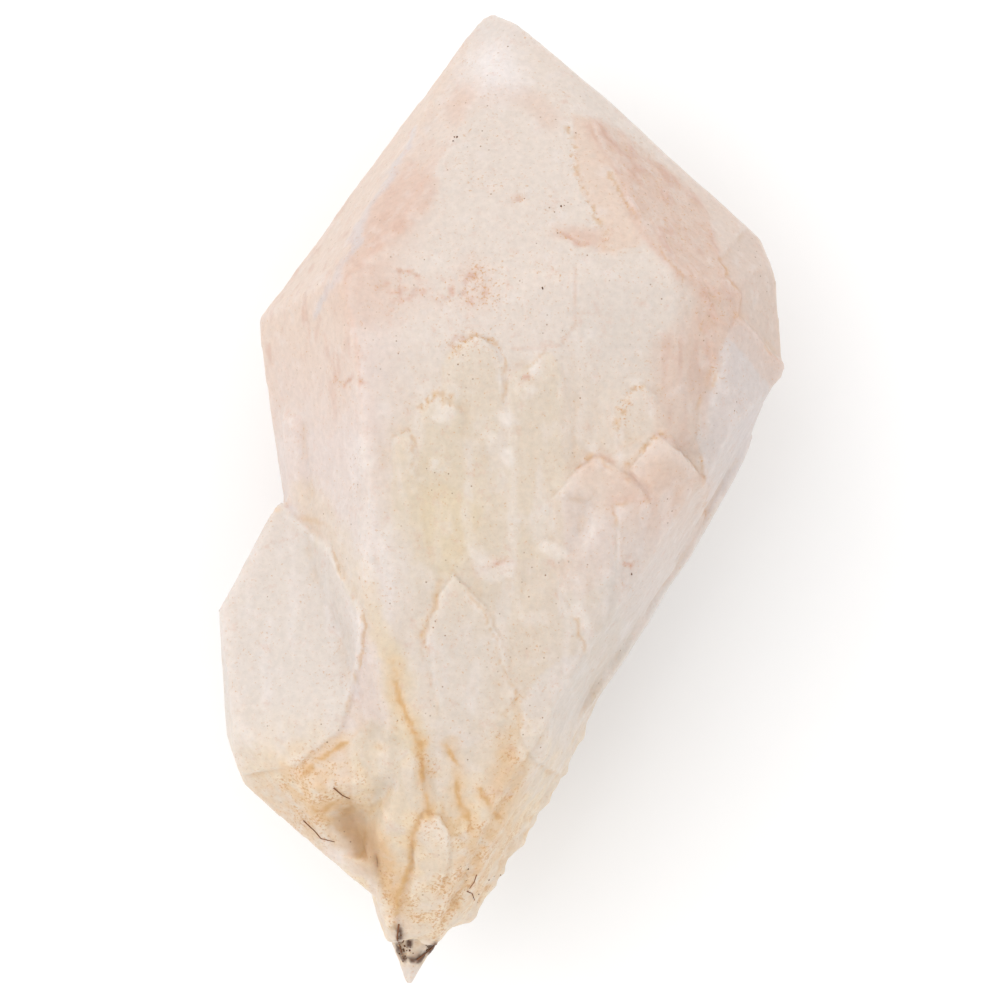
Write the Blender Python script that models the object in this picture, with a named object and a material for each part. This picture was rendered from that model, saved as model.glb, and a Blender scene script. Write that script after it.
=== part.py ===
"""A candle-quartz point, lying on its back: one main crystal, and smaller crystals grown onto its sides
and its tapering root, all as one solid.

X runs to the right, Y towards the point and Z up from the flat face that the stone rests on. Every
crystal is a set of flat faces: its sloping end faces, its sides and the faces that narrow its root.
Sizes are in millimetres and angles in degrees, until the corners are written to a mesh in metres.
"""

import math
import random

import bmesh
import bpy
from mathutils import Matrix, Vector
from mathutils.geometry import points_in_planes

MM = 0.001

# Driving dimensions
TIP = (-0.6, 76.4, 34.0)
TIP_BLUNTED = 1.3
REST_TO_FRONT = 66.0
MAIN_LEAN = 4.7
END_FACE_LIFT = 1.2
LEFT_SIDE = (-37.4, 27.9)
RIGHT_SIDE = (41.3, 36.4)
RIDGE_JITTER = 0.8
CANDLE_JITTER = 0.2
CANDLE_DEPTH = 22.0
SEED = 11

# The outline of the root as seen from the front: a direction out of it and a point of each straight run.
# From WIDEST_AT, the height of the outline, each run slopes inwards to the front and to the back.
ROOT_OUTLINE = (
    ((0.876, -0.482), (33.8, 0.9)),
    ((0.838, -0.545), (16.6, -27.0)),
    ((-0.94, -0.34), (-17.8, -67.4)),
    ((-0.975, -0.223), (-33.0, -2.9)),
)
WIDEST_AT = 34.0
FRONT_SLOPE = 0.22
BACK_SLOPE = 0.55
OUTLINE_RISE = 0.15

# Quartz: the angle from a crystal's long axis to the normal of an end face
END_FACE = 51.8

QUARTZ_COLOUR = (0.82, 0.74, 0.68, 1.0)


class Axes:
    """A crystal's own directions: along to its tip, right, and out to its front face."""

    def __init__(self, lean=0.0, side=0.0):
        turn = (
            Matrix.Rotation(math.radians(MAIN_LEAN), 3, "Z")
            @ Matrix.Rotation(math.radians(side), 3, "Y")
            @ Matrix.Rotation(math.radians(lean), 3, "Z")
        )
        self.along = turn @ Vector((0, 1, 0))
        self.right = turn @ Vector((1, 0, 0))
        self.out = turn @ Vector((0, 0, 1))

    def laid_on(self, normal):
        """Turned as little as lays the crystal along a face of its host."""
        self.out = normal
        self.along = (self.along - normal * self.along.dot(normal)).normalized()
        self.right = self.along.cross(normal)
        return self

    def face(self, round_axis, from_axis=90.0):
        """The normal of a face that is turned round_axis to the right of the front."""
        a = math.radians(round_axis)
        tilt = math.radians(from_axis)
        sideways = math.sin(a) * self.right + math.cos(a) * self.out
        return math.cos(tilt) * self.along + math.sin(tilt) * sideways


def plane(normal, point):
    """A flat face as (normal, offset): the solid lies where the plane's value is negative."""
    n = Vector(normal).normalized()
    return (n.x, n.y, n.z, -n.dot(Vector(point)))


def on(face, x, y):
    """The point of a flat face that is seen at x, y from the front."""
    a, b, c, d = face
    return Vector((x, y, -(a * x + b * y + d) / c))


def fold(face, start, end, angle):
    """The face that meets this one along the edge from start to end, turned back by angle."""
    first, last = on(face, *start), on(face, *end)
    turn = Matrix.Rotation(math.radians(angle), 3, (last - first).normalized())
    return plane(turn @ Vector(face[:3]), first)


def reach(planes, start, direction):
    """The first of the planes on the way from start along direction: how far it is, and its normal."""
    found = []
    for a, b, c, d in planes:
        normal = Vector((a, b, c))
        closing = normal.dot(direction)
        if closing > 1e-6:
            found.append((-(normal.dot(start) + d) / closing, normal))
    return min(found, key=lambda hit: hit[0])


def solid(name, planes):
    """A mesh object of the convex solid inside all the planes."""
    corners = points_in_planes([Vector(p) for p in planes], 1e-4, 1e-4)[0]
    shape = bmesh.new()
    for corner in corners:
        shape.verts.new(Vector(corner) * MM)
    bmesh.ops.remove_doubles(shape, verts=shape.verts, dist=0.02 * MM)
    hull = bmesh.ops.convex_hull(shape, input=shape.verts)
    spare = {e for e in hull["geom_interior"] + hull["geom_unused"] if isinstance(e, bmesh.types.BMVert)}
    bmesh.ops.delete(shape, geom=list(spare), context="VERTS")
    bmesh.ops.dissolve_limit(shape, angle_limit=math.radians(0.3), verts=shape.verts, edges=shape.edges)
    bmesh.ops.recalc_face_normals(shape, faces=shape.faces)
    mesh = bpy.data.meshes.new(name)
    shape.to_mesh(mesh)
    shape.free()
    made = bpy.data.objects.new(name, mesh)
    bpy.context.scene.collection.objects.link(made)
    return made


def taper_planes():
    """The faces of the front, the back and the foot that narrow the root."""
    faces = (
        ((0.52, -0.33, 0.79), (27.0, 6.0, REST_TO_FRONT - 2.0)),
        ((0.20, -0.98, 0.06), (-8.0, -66.0, 30.0)),
        ((-0.55, -0.20, 0.80), (-21.0, -6.0, REST_TO_FRONT - 1.5)),
        ((-0.02, -0.18, 0.98), (0.0, -2.0, REST_TO_FRONT)),
        ((0.03, -0.36, 0.93), (0.0, -32.0, REST_TO_FRONT - 5.5)),
        ((-0.10, -0.62, 0.78), (-8.0, -54.0, REST_TO_FRONT - 15.0)),
        ((0.10, -0.30, -0.95), (0.0, -21.0, 0.0)),
        ((-0.30, -0.55, -0.78), (-6.0, -50.0, 11.0)),
    )
    return [plane(normal, point) for normal, point in faces]


def root_planes():
    """The broken and grown-against faces that narrow the main crystal down to the root."""
    found = taper_planes()
    for (across, along), (x, y) in ROOT_OUTLINE:
        found.append(plane((across, along, FRONT_SLOPE), (x, y, WIDEST_AT)))
        found.append(plane((across, along, -BACK_SLOPE), (x, y, WIDEST_AT)))
    return found


def outline_planes():
    """Upright faces just outside the outline that is seen from the front, which no small crystal passes."""
    own = Axes()
    found = [plane((across, along, 0.0), (x, y, 0.0)) for (across, along), (x, y) in ROOT_OUTLINE]
    found += [plane(own.face(-90), (*LEFT_SIDE, 0.0)), plane(own.face(90), (*RIGHT_SIDE, 0.0))]
    return [(a, b, c, d - OUTLINE_RISE) for a, b, c, d in found]


def main_crystal_planes():
    """The main crystal: five end faces in front, three behind, six sides and the tapering root."""
    own = Axes()
    tip = Vector(TIP)
    front_end = plane(own.face(0, END_FACE), tip + own.out * END_FACE_LIFT)
    left_band = fold(front_end, (-4.3, 61.7), (-17.2, 36.7), 30)
    left_end = fold(left_band, (-14.4, 54.9), (-28.4, 28.4), 24)
    left_back = fold(left_end, (-7.4, 69.1), (-37.2, 28.1), 38)
    right_band = fold(front_end, (5.4, 66.3), (15.5, 42.0), -13)
    right_end = fold(right_band, (13.0, 58.1), (27.9, 27.3), -27)
    right_back = fold(right_end, (7.6, 69.1), (36.1, 42.9), -44)
    back_end = plane(own.face(180, END_FACE), tip - own.out * 0.5)
    blunt = plane(own.along + own.right * 0.14, tip - own.along * TIP_BLUNTED)
    shoulder = plane((0.90, 0.36, 0.10), (39.2, 41.0, 40.0))
    rounding = [
        plane(own.face(0, 64), (0, 37.2, REST_TO_FRONT - 2.2)),
        plane(own.face(-4, 77), (0, 32.0, REST_TO_FRONT - 0.5)),
        plane(own.face(-30), (-23.0, 12.0, REST_TO_FRONT)),
        plane(own.face(28), (26.0, 20.0, REST_TO_FRONT)),
    ]
    ends = [front_end, left_band, left_end, left_back, right_band, right_end, right_back, back_end]
    sides = [
        plane((0, 0, 1), (0, 0, REST_TO_FRONT)),
        plane((0, 0, -1), (0, 0, 0)),
        plane(own.face(-63), on(left_end, *LEFT_SIDE)),
        plane(own.face(-118), on(left_end, *LEFT_SIDE)),
        plane(own.face(60), on(right_end, *RIGHT_SIDE)),
        plane(own.face(118), on(right_end, *RIGHT_SIDE)),
    ]
    return ends + rounding + [blunt, shoulder] + sides + root_planes()


def both_ways(x, y, depth, point):
    """Two faces that meet in an edge seen side on: one turned to the front and one to the back."""
    return [plane((x, y, depth), point), plane((x, y, -depth), point)]


def left_crystal_planes():
    """The big crystal low on the left: a broad front end face, a flat front and a broken foot."""
    tip = (-34.1, -0.3, 45.5)
    corner = (-43.1, -17.6, 46.0)
    foot = (-39.8, -43.6, 47.0)
    planes = [
        plane(Axes(side=-9).face(0, 71), tip),
        plane((0.0, 0.6, -0.8), tip),
        plane((-0.06, 0.05, 0.995), (-31.0, -36.0, 57.5)),
        plane((-0.30, -0.15, -0.94), (-36.0, -20.0, 22.0)),
        plane((0.3, -0.9, 0.3), (-18.0, -64.0, 40.0)),
        plane((0.93, -0.10, 0.36), (-18.2, -22.0, 57.0)),
    ]
    planes += both_ways(-0.87, 0.475, 0.16, tip)
    planes += both_ways(-0.98, -0.06, 0.18, corner)
    planes += both_ways(-0.93, -0.30, 0.22, (-41.9, -36.9, 47.0))
    planes += both_ways(-0.55, -0.63, 0.55, foot)
    return planes


def right_crystal_planes():
    """The crystal on the right whose sharp corner makes the outline's widest point."""
    corner = (42.6, 20.3, 50.0)
    planes = [
        plane((0.86, 0.07, 0.50), (36.0, 20.0, 58.9)),
        plane((0.47, 0.04, 0.88), (31.5, 18.0, 63.9)),
        plane((0.52, -0.33, 0.79), (30.0, 10.0, 64.4)),
        plane((-0.931, 0.364, 0.0), (34.3, 24.7, 0.0)),
        plane((-0.977, 0.215, 0.0), (29.8, 9.2, 0.0)),
        plane((0.0, -1.0, 0.3), (31.0, 2.0, 60.0)),
        plane((-0.2, 0.0, -1.0), (38.0, 18.0, 40.0)),
    ]
    planes += both_ways(0.77, 0.638, 0.12, corner)
    planes += both_ways(0.87, -0.50, 0.20, corner)
    return planes + outline_planes()


def low_right_crystal_planes():
    """The crystal that steps out of the outline low on the right and runs down into the root."""
    tip = (14.6, -28.2)
    return (
        taper_planes()
        + both_ways(0.93, -0.37, 0.25, (14.9, -30.1, 36.0))
        + both_ways(0.84, -0.54, 0.25, (9.4, -42.6, 36.0))
        + [
            plane((0.30, 0.85, 0.35), (*tip, 44.0)),
            plane((-0.10, 0.80, -0.60), (*tip, 28.0)),
            plane((0.52, -0.25, 0.80), (11.0, -34.0, 58.2)),
            plane((-0.90, 0.0, 0.30), (-10.0, -50.0, 44.0)),
        ]
    )


def spur_planes():
    """The narrow spur that the root ends in."""
    return (
        both_ways(-0.94, -0.34, 0.35, (-17.8, -67.4, 31.0))
        + both_ways(0.871, -0.491, 0.40, (-9.1, -66.5, 31.0))
        + [
            plane((0.05, -0.30, 0.95), (-13.0, -62.0, 37.0)),
            plane((-0.05, -0.36, -0.93), (-13.0, -62.0, 21.0)),
            plane((0.0, 1.0, 0.0), (0.0, -42.0, 0.0)),
            plane((0.1, -1.0, 0.0), (-14.1, -75.1, 0.0)),
        ]
    )


def crystal_faces(tip, axes, radius, turns, jitter):
    """The end face and the side of a six-sided crystal at each turn round its axis, a little irregular."""
    twist = jitter.uniform(-9, 9)
    found = []
    for turn in turns:
        lift = jitter.uniform(0.0, 0.12) * radius
        width = radius * jitter.uniform(0.86, 1.14)
        end = axes.face(turn + twist, END_FACE + jitter.uniform(-1.5, 1.5))
        side = axes.face(turn + twist)
        found += [plane(end, tip + side * lift), plane(side, tip + side * width)]
    return found


def host_faces(host, axes, rise, uneven, jitter):
    """The host's faces moved out: by rise where they face as the crystal does, and by less elsewhere."""
    found = []
    for a, b, c, d in host:
        facing = max(0.0, Vector((a, b, c)).dot(axes.out))
        outwards = rise * (0.15 + 0.85 * facing) + jitter.uniform(-uneven, uneven) * (b < -0.1)
        found.append((a, b, c, d - (outwards if c > -0.99 else -jitter.uniform(0.4, 1.4))))
    return found + outline_planes()


def candle_planes(tip, axes, radius, rise, host, jitter, foot=None):
    """A small crystal on the front: it stands out of its host by no more than rise and goes deep into it."""
    planes = crystal_faces(tip, axes, radius, (-60, 0, 60), jitter)
    planes += host_faces(host, axes, rise, CANDLE_JITTER, jitter)
    planes.append(plane(-axes.out, tip - axes.out * CANDLE_DEPTH))
    if foot:
        planes.append(plane(axes.out * 0.5 - axes.along, tip - axes.along * foot))
    return planes


def keep_outer_surface(made):
    """Takes the joined shape as the mesh, without the surfaces of gaps that crystals sealed between them.

    The origin becomes the middle of the underside of its box.
    """
    bpy.context.view_layer.update()
    graph = bpy.context.evaluated_depsgraph_get()
    joined = bpy.data.meshes.new_from_object(made.evaluated_get(graph))
    made.modifiers.clear()
    shape = bmesh.new()
    shape.from_mesh(joined)
    left = set(shape.verts)
    shells = []
    while left:
        shell, edge = set(), {left.pop()}
        while edge:
            shell |= edge
            edge = {e.other_vert(v) for v in edge for e in v.link_edges} - shell
        shells.append(shell)
        left -= shell
    outer = max(shells, key=lambda shell: max(v.co.y for v in shell) - min(v.co.y for v in shell))
    inner = [v for shell in shells if shell is not outer for v in shell]
    bmesh.ops.delete(shape, geom=inner, context="VERTS")
    bmesh.ops.triangulate(shape, faces=shape.faces)
    across = [v.co.x for v in shape.verts]
    along = [v.co.y for v in shape.verts]
    to_middle = Vector((min(across) + max(across), min(along) + max(along), 0.0)) / -2
    bmesh.ops.translate(shape, vec=to_middle, verts=shape.verts)
    shape.to_mesh(made.data)
    shape.free()


def quartz_material():
    made = bpy.data.materials.new("milky quartz")
    made.use_nodes = True
    shader = made.node_tree.nodes["Principled BSDF"]
    shader.inputs["Base Color"].default_value = QUARTZ_COLOUR
    shader.inputs["Roughness"].default_value = 0.35
    made.diffuse_color = QUARTZ_COLOUR
    return made


# Small crystals on the front: where the tip is seen, half width, rise, lean to the left, foot, turn
FRONT_CANDLES = (
    (-3.9, 24.8, 4.4, 0.4, 1, None, 0),
    (-10.2, 16.7, 3.0, 0.5, 2, None, -3),
    (-14.6, 10.4, 2.2, 0.6, 3, None, -5),
    (-25.2, 18.3, 2.6, 0.4, 3, None, -20),
    (6.7, 22.6, 2.8, 0.4, -2, None, 2),
    (1.2, 19.4, 2.2, 0.5, 0, None, 0),
    (20.6, 17.9, 3.4, 0.7, -9, None, 8),
    (23.9, 10.2, 6.4, 1.7, -18, None, 10),
    (14.4, 7.4, 4.3, 1.2, -12, 7.0, 6),
    (17.4, -7.3, 8.2, 1.3, -22, None, 14),
    (8.4, -6.2, 2.3, 0.9, -10, None, 0),
    (-7.3, -11.8, 6.6, 1.2, 0, None, -4),
    (7.6, -21.8, 5.0, 1.6, -17, None, 8),
    (-24.5, 3.6, 4.6, 0.7, 12, None, -16),
    (-15.5, -2.0, 4.2, 0.6, 7, None, -8),
    (-13.4, -29.5, 2.6, 1.5, 6, None, -6),
    (-10.7, -47.8, 2.1, 2.6, 3, None, -4),
    (-1.9, -42.2, 2.1, 1.6, -12, None, 4),
    (2.3, -41.4, 1.6, 1.2, -16, None, 8),
    (-5.0, -54.3, 1.7, 1.8, -10, None, 4),
    (8.2, -42.5, 2.6, 1.2, -24, None, 20),
    (2.8, -51.0, 2.1, 1.4, -24, None, 20),
    (-2.6, -58.7, 1.8, 1.4, -22, None, 20),
)

# The rounded crystal between the hollow and the root: its tip, half width, most rise, lean, foot and turn
BULGE = ((-18.4, -31.0, 53.8), 5.6, 3.0, 7, None, -8)

# Ridges on the sides and back: turn from the front, distance below the tip, half width, rise, lean, foot
SIDE_CRYSTALS = (
    (72, 92.0, 4.5, 1.2, -3, 40.0),
    (84, 70.0, 5.5, 1.6, -2, 30.0),
    (92, 98.0, 4.0, 2.0, 2, 34.0),
    (104, 58.0, 6.5, 3.2, -3, None),
    (118, 66.0, 5.0, 3.6, 2, None),
    (100, 80.0, 5.0, 2.6, -4, None),
    (126, 48.0, 5.5, 2.4, 3, None),
    (128, 84.0, 4.4, 3.4, -2, None),
    (142, 62.0, 4.6, 2.6, 2, None),
    (112, 100.0, 4.0, 3.0, -5, None),
    (138, 102.0, 3.8, 2.8, 3, None),
    (122, 116.0, 3.2, 2.4, 4, None),
    (-74, 56.0, 4.0, 1.0, 3, 26.0),
    (-104, 54.0, 6.5, 2.6, 3, 44.0),
    (-120, 62.0, 5.0, 3.8, -3, None),
    (-112, 82.0, 6.0, 2.8, 4, None),
    (-134, 50.0, 5.5, 2.4, -2, None),
    (-132, 88.0, 4.6, 3.4, 3, None),
    (-146, 70.0, 4.6, 2.6, -3, None),
    (-118, 106.0, 4.0, 3.0, 4, None),
    (-142, 108.0, 3.6, 2.6, -3, None),
    (176, 112.0, 4.6, 2.6, -3, None),
    (164, 100.0, 4.2, 2.2, 4, None),
    (-168, 98.0, 4.4, 2.4, -4, None),
    (-160, 122.0, 3.4, 2.2, 4, None),
    (158, 126.0, 3.2, 2.0, -5, None),
)

# The hollow low on the left, where crystals broke off: a normal and a point for each of its faces
HOLLOW = (
    ((0.15, 0.30, -0.90), (-24.5, -51.0, 50.2)),
    ((-0.75, 0.10, -0.65), (-28.0, -49.0, 52.5)),
    ((-0.10, 0.80, -0.60), (-25.0, -47.5, 52.8)),
    ((0.10, -0.85, -0.50), (-22.5, -54.6, 50.8)),
    ((0.90, -0.10, -0.40), (-20.6, -51.0, 51.0)),
    ((0.0, 0.0, 1.0), (0.0, 0.0, 80.0)),
)


def on_front(host, x, y):
    """The point of the host's front surface that is seen at x, y."""
    low = Vector((x, y, WIDEST_AT))
    return low + Vector((0, 0, 1)) * reach(host, low, Vector((0, 0, 1)))[0]


def ridge_planes(turn, down, radius, rise, lean, foot, host, jitter):
    """A crystal that lies along its host's surface, at a turn from the front and a distance below the tip."""
    own = Axes()
    middle = Vector(TIP) - own.along * down
    away, normal = reach(host, middle, own.face(turn))
    axes = Axes(lean).laid_on(normal)
    tip = middle + own.face(turn) * away + normal * (rise - radius * 0.9)
    planes = crystal_faces(tip, axes, radius, range(0, 360, 60), jitter)
    planes += host_faces(host, axes, rise + 0.6, RIDGE_JITTER, jitter)
    if foot:
        planes.append(plane(axes.out * 0.5 - axes.along, tip - axes.along * foot))
    return planes


def all_crystals():
    host = main_crystal_planes()
    jitter = random.Random(SEED)
    found = [left_crystal_planes(), right_crystal_planes(), low_right_crystal_planes(), spur_planes()]
    for x, y, radius, rise, lean, foot, turn in FRONT_CANDLES:
        axes = Axes(lean, side=turn)
        tip = on_front(host, x, y) + axes.out * rise * 0.35
        found.append(candle_planes(tip, axes, radius, rise, host, jitter, foot))
    tip, radius, rise, lean, foot, turn = BULGE
    found.append(candle_planes(Vector(tip), Axes(lean, side=turn), radius, rise, host, jitter, foot))
    found += [ridge_planes(*crystal, host, jitter) for crystal in SIDE_CRYSTALS]
    return host, found


for old in list(bpy.data.objects):
    bpy.data.objects.remove(old)

main_planes, others = all_crystals()
grown = bpy.data.collections.new("grown crystals")
bpy.context.scene.collection.children.link(grown)
for number, faces in enumerate(others):
    crystal = solid(f"grown_{number}", faces)
    bpy.context.scene.collection.objects.unlink(crystal)
    grown.objects.link(crystal)
hollow = solid("hollow", [plane(*face) for face in HOLLOW])
quartz = solid("quartz_point", main_planes)
quartz.data.materials.append(quartz_material())
join = quartz.modifiers.new("grown together", "BOOLEAN")
join.operation = "UNION"
join.operand_type = "COLLECTION"
join.collection = grown
join.solver = "EXACT"
cut = quartz.modifiers.new("broken away", "BOOLEAN")
cut.operation = "DIFFERENCE"
cut.object = hollow
cut.solver = "EXACT"
keep_outer_surface(quartz)
for helper in [*grown.objects, hollow]:
    bpy.data.objects.remove(helper)
bpy.data.collections.remove(grown)
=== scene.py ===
"""Looks for a milky candle-quartz point that lies on its back.

The faceted solid is remeshed finely and its edges are worn soft. Small crystals, scales and pale domes
are raised on it, and curls, pits and thin steps are etched into it. The stains are laid on one after
another: peach on the end faces, olive in the body, iron in the creases and soil at the root.
Places are millimetres in the part's frame, seen from the front unless they have three numbers.
"""

import math
import random

import bmesh
import bpy
import numpy as np
from mathutils import Euler, Matrix, Vector, noise
from mathutils.bvhtree import BVHTree


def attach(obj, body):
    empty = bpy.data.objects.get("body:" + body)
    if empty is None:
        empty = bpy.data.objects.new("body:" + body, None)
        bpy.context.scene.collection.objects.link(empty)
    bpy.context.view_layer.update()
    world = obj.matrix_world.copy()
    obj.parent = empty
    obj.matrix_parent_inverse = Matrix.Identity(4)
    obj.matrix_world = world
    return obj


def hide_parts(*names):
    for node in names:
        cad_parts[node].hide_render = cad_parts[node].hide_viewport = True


MM = 0.001

# Spacing of the fine mesh, the most triangles that it keeps, and how far it stays off the floor
VOXEL_MM = 0.47
MOST_TRIANGLES = 196000
FLOOR_GAP_MM = 0.02

# The stone's width, length and height, which the fine mesh is fitted to, and how far its edges are worn
SEEN_SIZE = (86.3, 150.4, 67.9)
WORN_MM = 0.16

# Natural quartz and its stains, as they are in white light, and a few greys and a brown laid on as painted
# shade
CREAM = "#D2C5BB"
WARM_GREY = "#CDBEB0"
ROSY_WHITE = "#D2C2BA"
BONE = "#D0C5BC"
# Lilac grey: the right crystal's own colour, and also painted sheen along the left ridge
LILAC_GREY = "#C6BCBB"
# Painted shade: grey laid over the lower right side, the smooth candle and the tip's far end
SHADE_GREY = "#CDC4BE"
PEACH = "#CDB0A0"
PALE_PEACH = "#D2BDAE"
CLAY = "#CCB3A4"
CLAY_STREAK = "#C29C8A"
MILK = "#DBD2CE"
PALE_DOME = "#D9CFC7"
OLIVE = "#CDBEA9"
STRAW = "#D3C09F"
SAND = "#DCC8AC"
HONEY_GREY = "#C8B9A6"
# Painted shade, for the darker patches and the right prism
DUSK_SHADE = "#BFB6AE"
RUST = "#C9A06C"
OXIDE = "#C0905E"
ROOT_RUST = "#D3AE80"
CURL_RUST = "#C79E8B"
# Painted shade in the hollow near the root
HOLLOW_SHADE = "#AD8457"
SOIL = "#573820"
SOIL_DUST = "#8A6A4E"
SOIL_CRUMB = "#5E4128"
DRY_ROOT = "#7A4E30"
DAYLIGHT = "#FFFFFF"
WHITE_PAPER = "#F8F8F8"

# Patterns of the quartz's skin, as how many there are to a metre
MOTTLES = 1000.0  # milky mottling of a millimetre
TAN_FLECKS = 430.0  # flecks of up to 2.3 mm
OXIDE_GRAINS = 2300.0  # grains of 0.4 mm
SOIL_SPECKS = 650.0  # specks 1.5 mm apart
SPECK_DRIFTS = 110.0  # drifts of specks, 9 mm wide
ETCHING = 1100.0  # shallow etching of 0.9 mm

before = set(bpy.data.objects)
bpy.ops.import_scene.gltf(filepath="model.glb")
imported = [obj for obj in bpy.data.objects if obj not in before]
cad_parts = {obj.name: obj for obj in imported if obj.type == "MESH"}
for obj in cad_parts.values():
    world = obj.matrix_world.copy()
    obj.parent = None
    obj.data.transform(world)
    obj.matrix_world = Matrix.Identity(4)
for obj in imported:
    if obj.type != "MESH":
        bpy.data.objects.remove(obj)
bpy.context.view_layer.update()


# Colours and nodes


def linear(hex_colour):
    """An sRGB hex colour as the linear RGBA that a shader socket takes."""
    parts = [int(hex_colour[i : i + 2], 16) / 255 for i in (1, 3, 5)]
    return [c / 12.92 if c <= 0.04045 else ((c + 0.055) / 1.055) ** 2.4 for c in parts] + [1.0]


def add(tree, kind, **given):
    """One node: settings by their names, and sockets by theirs, with _ for spaces, or by _ and a number.

    A socket gets the value that it holds or the output that feeds it.
    """
    made = tree.nodes.new(kind)
    for name, value in given.items():
        if name.islower():
            setattr(made, name, value)
            continue
        socket = made.inputs[int(name[1:])] if name[0] == "_" else made.inputs[name.replace("_", " ")]
        if isinstance(value, bpy.types.NodeSocket):
            tree.links.new(value, socket)
        else:
            socket.default_value = value
    return made


# The stone's mesh


def fine_mesh(node):
    """A finely remeshed copy of the CAD node, for relief that its flat faces can't hold."""
    fine = bpy.data.objects.new("quartz_stone", node.data.copy())
    bpy.context.scene.collection.objects.link(fine)
    fine.data.materials.clear()
    weld = fine.modifiers.new("weld", "WELD")
    weld.merge_threshold = 0.0005 * MM
    remesh = fine.modifiers.new("remesh", "REMESH")
    remesh.mode = "VOXEL"
    remesh.voxel_size = VOXEL_MM * MM
    graph = bpy.context.evaluated_depsgraph_get()
    mesh = bpy.data.meshes.new_from_object(fine.evaluated_get(graph))
    fine.modifiers.clear()
    fine.data = mesh
    return fine


class Surface:
    """Positions and normals of the mesh in millimetres, with the smoothing that uses its edges."""

    def __init__(self, mesh):
        self.mesh = mesh
        count = len(mesh.vertices)
        flat = np.empty(count * 3, np.float32)
        mesh.vertices.foreach_get("co", flat)
        self.at = flat.reshape(-1, 3).astype(float) / MM
        ends = np.empty(len(mesh.edges) * 2, np.int32)
        mesh.edges.foreach_get("vertices", ends)
        self.a, self.b = ends.reshape(-1, 2).T
        self.links = np.bincount(self.a, minlength=count) + np.bincount(self.b, minlength=count)

    def store(self):
        self.mesh.vertices.foreach_set("co", (self.at * MM).astype(np.float32).ravel())
        self.mesh.update()

    def normals(self):
        self.store()
        flat = np.empty(len(self.at) * 3, np.float32)
        self.mesh.vertices.foreach_get("normal", flat)
        return flat.reshape(-1, 3).astype(float)

    def spread(self, values, rounds):
        """Each value moved to the mean of its neighbours, a number of times."""
        flat = values.reshape(len(values), -1).copy()
        for _ in range(rounds):
            for k in range(flat.shape[1]):
                column = flat[:, k]
                total = np.bincount(self.a, column[self.b], len(flat))
                total += np.bincount(self.b, column[self.a], len(flat))
                flat[:, k] = total / self.links
        return flat.reshape(values.shape)

    def sunk(self, rounds):
        """How far each point lies under the surface's own smoothed shape, and above it where negative."""
        return np.einsum("ij,ij->i", self.spread(self.at, rounds) - self.at, self.normals())


def noise_of(points, size, seed=0.0, octaves=1):
    """Smooth noise from about -1 to 1 at each point, with features of this size in millimetres."""
    scaled = points / np.asarray(size, float) + seed * 7.31
    if octaves == 1:
        return np.array([noise.noise(Vector(p)) for p in scaled]) * 1.6
    return np.array([noise.fractal(Vector(p), 1.0, 2.0, octaves) for p in scaled]) * 1.3


def ramp(values, low, high):
    """0 at low, 1 at high and a smooth rise between."""
    t = np.clip((values - low) / (high - low), 0, 1)
    return t * t * (3 - 2 * t)


def patch(seen, x, y, wide, tall, turn=0.0, soft=0.5):
    """1 inside an ellipse seen from the front, falling to 0 outside it."""
    a = math.radians(turn)
    dx, dy = seen[:, 0] - x, seen[:, 1] - y
    u = (dx * math.cos(a) + dy * math.sin(a)) / wide
    v = (dy * math.cos(a) - dx * math.sin(a)) / tall
    return ramp(np.hypot(u, v), 1 + soft, 1 - soft)


def away_from(seen, start, end):
    """How far each point lies from a straight line between two places."""
    from_start = seen - start
    along = np.subtract(end, start)
    t = np.clip((from_start @ along) / (along @ along), 0, 1)
    return np.hypot(from_start[:, 0] - t * along[0], from_start[:, 1] - t * along[1])


def stroke(seen, path, width):
    """1 along a path seen from the front, falling to 0 at half its width to each side."""
    nearest = np.full(len(seen), 1e9)
    for start, end in zip(path, path[1:]):
        nearest = np.minimum(nearest, away_from(seen, start, end))
    return ramp(nearest, 0.5 * width, 0.1 * width)


def area(seen, outline, soft=0.5):
    """1 inside an outline seen from the front, falling to 0 across a border of this width."""
    inside = np.zeros(len(seen), bool)
    nearest = np.full(len(seen), 1e9)
    for (x0, y0), (x1, y1) in zip(outline, outline[1:] + outline[:1]):
        nearest = np.minimum(nearest, away_from(seen, (x0, y0), (x1, y1)))
        if y0 != y1:
            beside = (seen[:, 1] > min(y0, y1)) & (seen[:, 1] <= max(y0, y1))
            inside ^= beside & (seen[:, 0] < x0 + (seen[:, 1] - y0) * (x1 - x0) / (y1 - y0))
    return ramp(np.where(inside, nearest, -nearest), -soft / 2, soft / 2)


class Paint:
    """The stone's colour at each point, stained in turn, and how thick its iron grains lie there."""

    def __init__(self, count, ground):
        self.colour = np.tile(np.array(linear(ground)), (count, 1))
        self.iron = np.zeros(count)

    def lay(self, hex_colour, amount):
        self.colour += (np.array(linear(hex_colour)) - self.colour) * np.clip(amount, 0, 1)[:, None]

    def store(self, mesh):
        layer = mesh.color_attributes.new("stone colour", "FLOAT_COLOR", "POINT")
        self.colour[:, 3] = np.clip(self.iron, 0, 1)
        layer.data.foreach_set("color", self.colour.astype(np.float32).ravel())


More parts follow.
